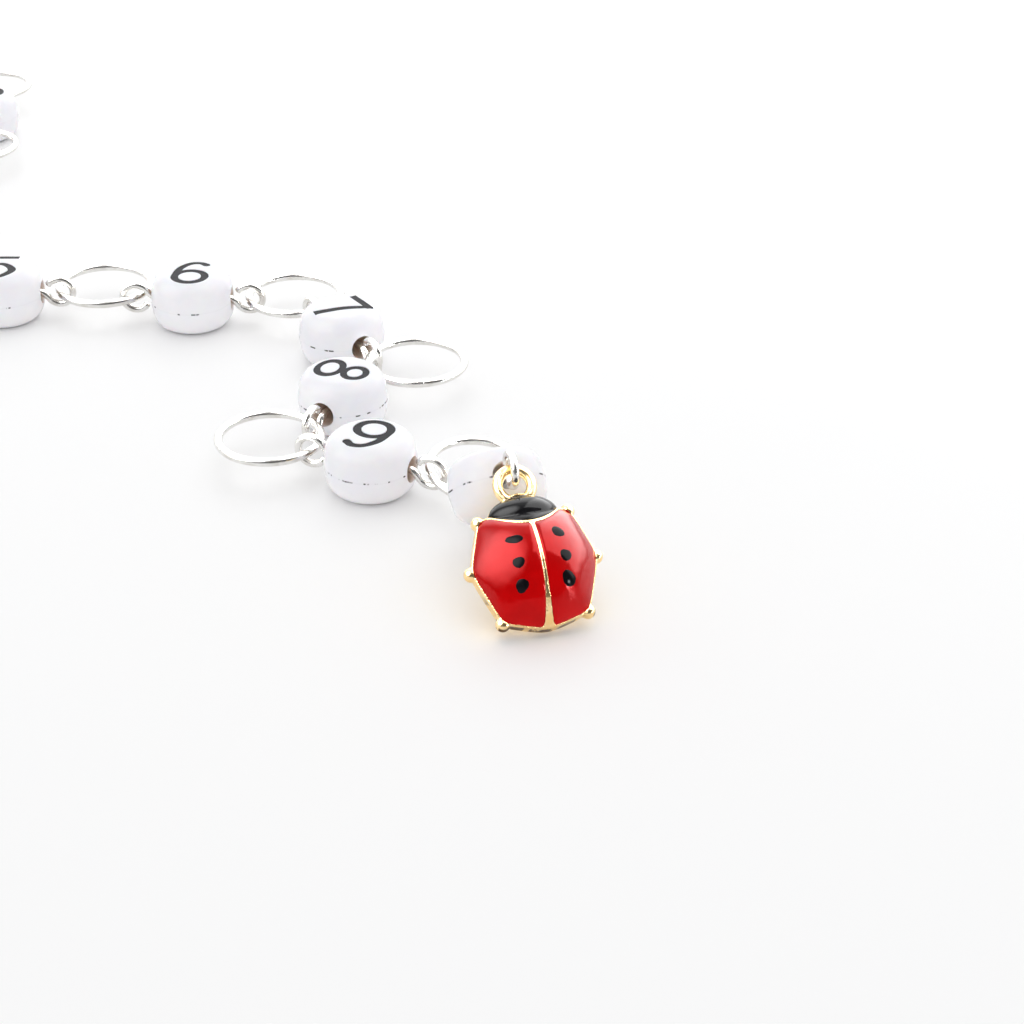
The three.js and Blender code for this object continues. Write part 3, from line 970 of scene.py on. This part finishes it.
def patch(name, middle, edge, shares, top, low):  # a domed plate over a star-shaped cell
    spokes = [(far, math.cos(a), math.sin(a)) for far, a in zip(edge, aroundTurn(len(edge)))]
    rows = []
    for share in shares:
        places = [(middle[0] + far * share * dx, middle[1] + far * share * dy)
                  for far, dx, dy in spokes]
        rows.append([(x, y, top(x, y, share)) for x, y in places])
    rows.append([(x, y, low) for x, y, z in rows[-1]])
    return capped(name, rows, (*middle, top(*middle, 0)), (*middle, low))


def domeShape(name, outline, centre, height):
    rows = []
    for share in charm["rows"]:
        places = [(p.x * share, p.y * share + centre) for p in outline]
        rows.append([(x, y, height(x, y)) for x, y in places])
    back = charm["backShare"]
    rows.append([(p.x, p.y + centre, charm["backEdge"]) for p in outline])
    rows.append([(p.x * back, p.y * back + centre, 0.0) for p in outline])
    return capped(name, rows, (0, centre, height(0, centre)), (0, centre, 0))


def nub(name, place, size):  # a rounded cast knob
    angles = [math.pi * i / charm["nubRows"] for i in range(charm["nubRows"] + 1)]
    made = turned(name, [(math.sin(a), math.cos(a)) for a in angles], charm["nubSides"])
    made.data.transform(Matrix.Diagonal((*size, 1)))
    made.data.transform(Matrix.Translation(place))
    return made


def cellCutter(key, inside):
    middle = charm["cellMiddles"][key]

    def flatTop(x, y, share):
        return charm["cellTop"]
    return patch("cell", middle, edgeOf(inside, middle), (1.0,), flatTop, charm["cellFloor"])


# the bail hangs on the last loop and the tail leans on the floor
swing = joints["charm_swing"]
hook = Vector(swing["pos_m"])
across = Vector(swing["axis"]).normalized()
hang = charm["bailCentre"] + charm["bailRadius"]
tailReach = hang + charm["halfLength"]
lean = math.asin(hook.z / metresPerMm / math.hypot(tailReach, charm["bailWire"]))
lean -= math.atan2(charm["bailWire"], tailReach)
towards = math.cos(lean) * up.cross(across) + math.sin(lean) * up
fromHook = Vector((0, -hang, -charm["bailWire"])) * metresPerMm
charmPlace = frameOf(hook, across, across.cross(towards)) @ Matrix.Translation(fromHook)

casting = domeShape("goldCharm", bodyOutline(), 0, wingHeight)
headOutline = [Vector((charm["headHalfWidth"] * math.cos(a), charm["headHalfLength"] * math.sin(a)))
               for a in aroundTurn(charm["headSteps"])]
added = [domeShape("headForm", headOutline, charm["headCentre"], browHeight)]
footSize = (charm["footRadius"], charm["footRadius"], charm["footHalf"])
for x, y in charm["corners"][1:-1]:
    for side in (-1, 1):
        footPlace = (side * x * charm["halfWidth"], y * charm["halfLength"], charm["footHalf"])
        added.append(nub("foot", footPlace, footSize))
bailPath = [(charm["bailRadius"] * math.cos(a),
             charm["bailCentre"] + charm["bailRadius"] * math.sin(a), charm["bailWire"])
            for a in aroundTurn(charm["bailSteps"])]
added.append(wire("bail", bailPath, up, charm["bailWire"], charm["bailSides"], True))
added.append(nub("bailRoot", charm["bailRoot"], charm["bailRootSize"]))
casting = worked(casting, added, "UNION")
cellCutters = [
    cellCutter("left", wingCell(-1, 0)),
    cellCutter("right", wingCell(1, 0)),
    cellCutter("head", headCell(-charm["browCut"], 0)),
]
casting = worked(casting, cellCutters, "DIFFERENCE")
skin = casting.modifiers.new("skin", "REMESH")
skin.mode = "VOXEL"
skin.voxel_size = charm["voxel"]
soften = casting.modifiers.new("soften", "SMOOTH")
soften.factor = charm["softening"]
soften.iterations = charm["softenings"]
applied(casting)
piece(casting, charmPlace, 0, goldPlate, "charm", "charm")
print("gold casting ready")


enamel = {
    "gap": 0.012,
    "crown": 0.06,
    "crownBend": 3,
    "meniscus": 0.05,
    "meniscusFrom": 0.88,
    "rows": (0.12, 0.24, 0.36, 0.48, 0.6, 0.7, 0.79, 0.86, 0.91, 0.945, 0.97, 0.99, 1.0),
    "sharpest": 50,
}
spots = {
    "offset": 1.6,
    # shift across, place along, half width, half length, twist in degrees
    "left": [
        (-0.08, 1.25, 0.68, 0.36, -8),
        (0.0, -0.4, 0.5, 0.48, 0),
        (0.02, -1.9, 0.5, 0.52, 0),
    ],
    "right": [
        (-0.06, 1.35, 0.54, 0.45, -28),
        (0.06, -0.36, 0.55, 0.53, 20),
        (0.0, -1.86, 0.6, 0.64, 22),
    ],
    "uneven": 0.05,
    "lift": 0.018,  # of the rim above the wing's form
    "crown": 0.07,
    "crownBend": 2.5,
    "crownFull": 0.8,
    "depth": 0.4,
    "steps": 48,
    "rows": (0.2, 0.4, 0.58, 0.73, 0.85, 0.93, 0.98, 1.0),
    "sharpest": 60,
}


def flow(height):  # enamel stands proud in the middle and sinks at its edge
    def top(x, y, share):
        edge = max((share - enamel["meniscusFrom"]) / (1 - enamel["meniscusFrom"]), 0)
        crown = enamel["crown"] * (1 - share ** enamel["crownBend"])
        return height(x, y) + crown - enamel["meniscus"] * edge * edge
    return top


def enamelPlate(name, key, inside, height, material):
    middle = charm["cellMiddles"][key]
    low = charm["cellFloor"] + enamel["gap"]
    plate = patch(name, middle, edgeOf(inside, middle), enamel["rows"], flow(height), low)
    piece(plate, charmPlace, enamel["sharpest"], material, "charm", f"enamel_{key}")


def spotTop(x, y, share):
    crown = (1 - share ** spots["crownBend"]) ** spots["crownFull"]
    return wingHeight(x, y) + spots["lift"] + spots["crown"] * crown


def spotEdge(halfAcross, halfAlong, twist, phase):
    made = []
    for turn in aroundTurn(spots["steps"]):
        a = turn - math.radians(twist)
        oval = 1 / math.hypot(math.cos(a) / halfAcross, math.sin(a) / halfAlong)
        made.append(oval * (1 + spots["uneven"] * math.sin(3 * a + phase)))
    return made


for side, key in ((-1, "left"), (1, "right")):
    wingInside = wingCell(side, enamel["gap"])
    enamelPlate(f"{key}Wing", key, wingInside, wingHeight, redEnamel[key])
    for i, (shift, along, halfAcross, halfAlong, twist) in enumerate(spots[key]):
        middle = (side * (spots["offset"] + shift), along)
        edge = spotEdge(halfAcross, halfAlong, twist, i + side)
        low = wingHeight(*middle) - spots["depth"]
        spot = patch(f"{key}Spot{i + 1}", middle, edge, spots["rows"], spotTop, low)
        piece(spot, charmPlace, spots["sharpest"], spotEnamel, "charm",
              f"spot_{key}_{i + 1}")
headInside = headCell(enamel["gap"], enamel["gap"])
enamelPlate("blackHead", "head", headInside, headHeight, blackEnamel)
print("enamel ready")
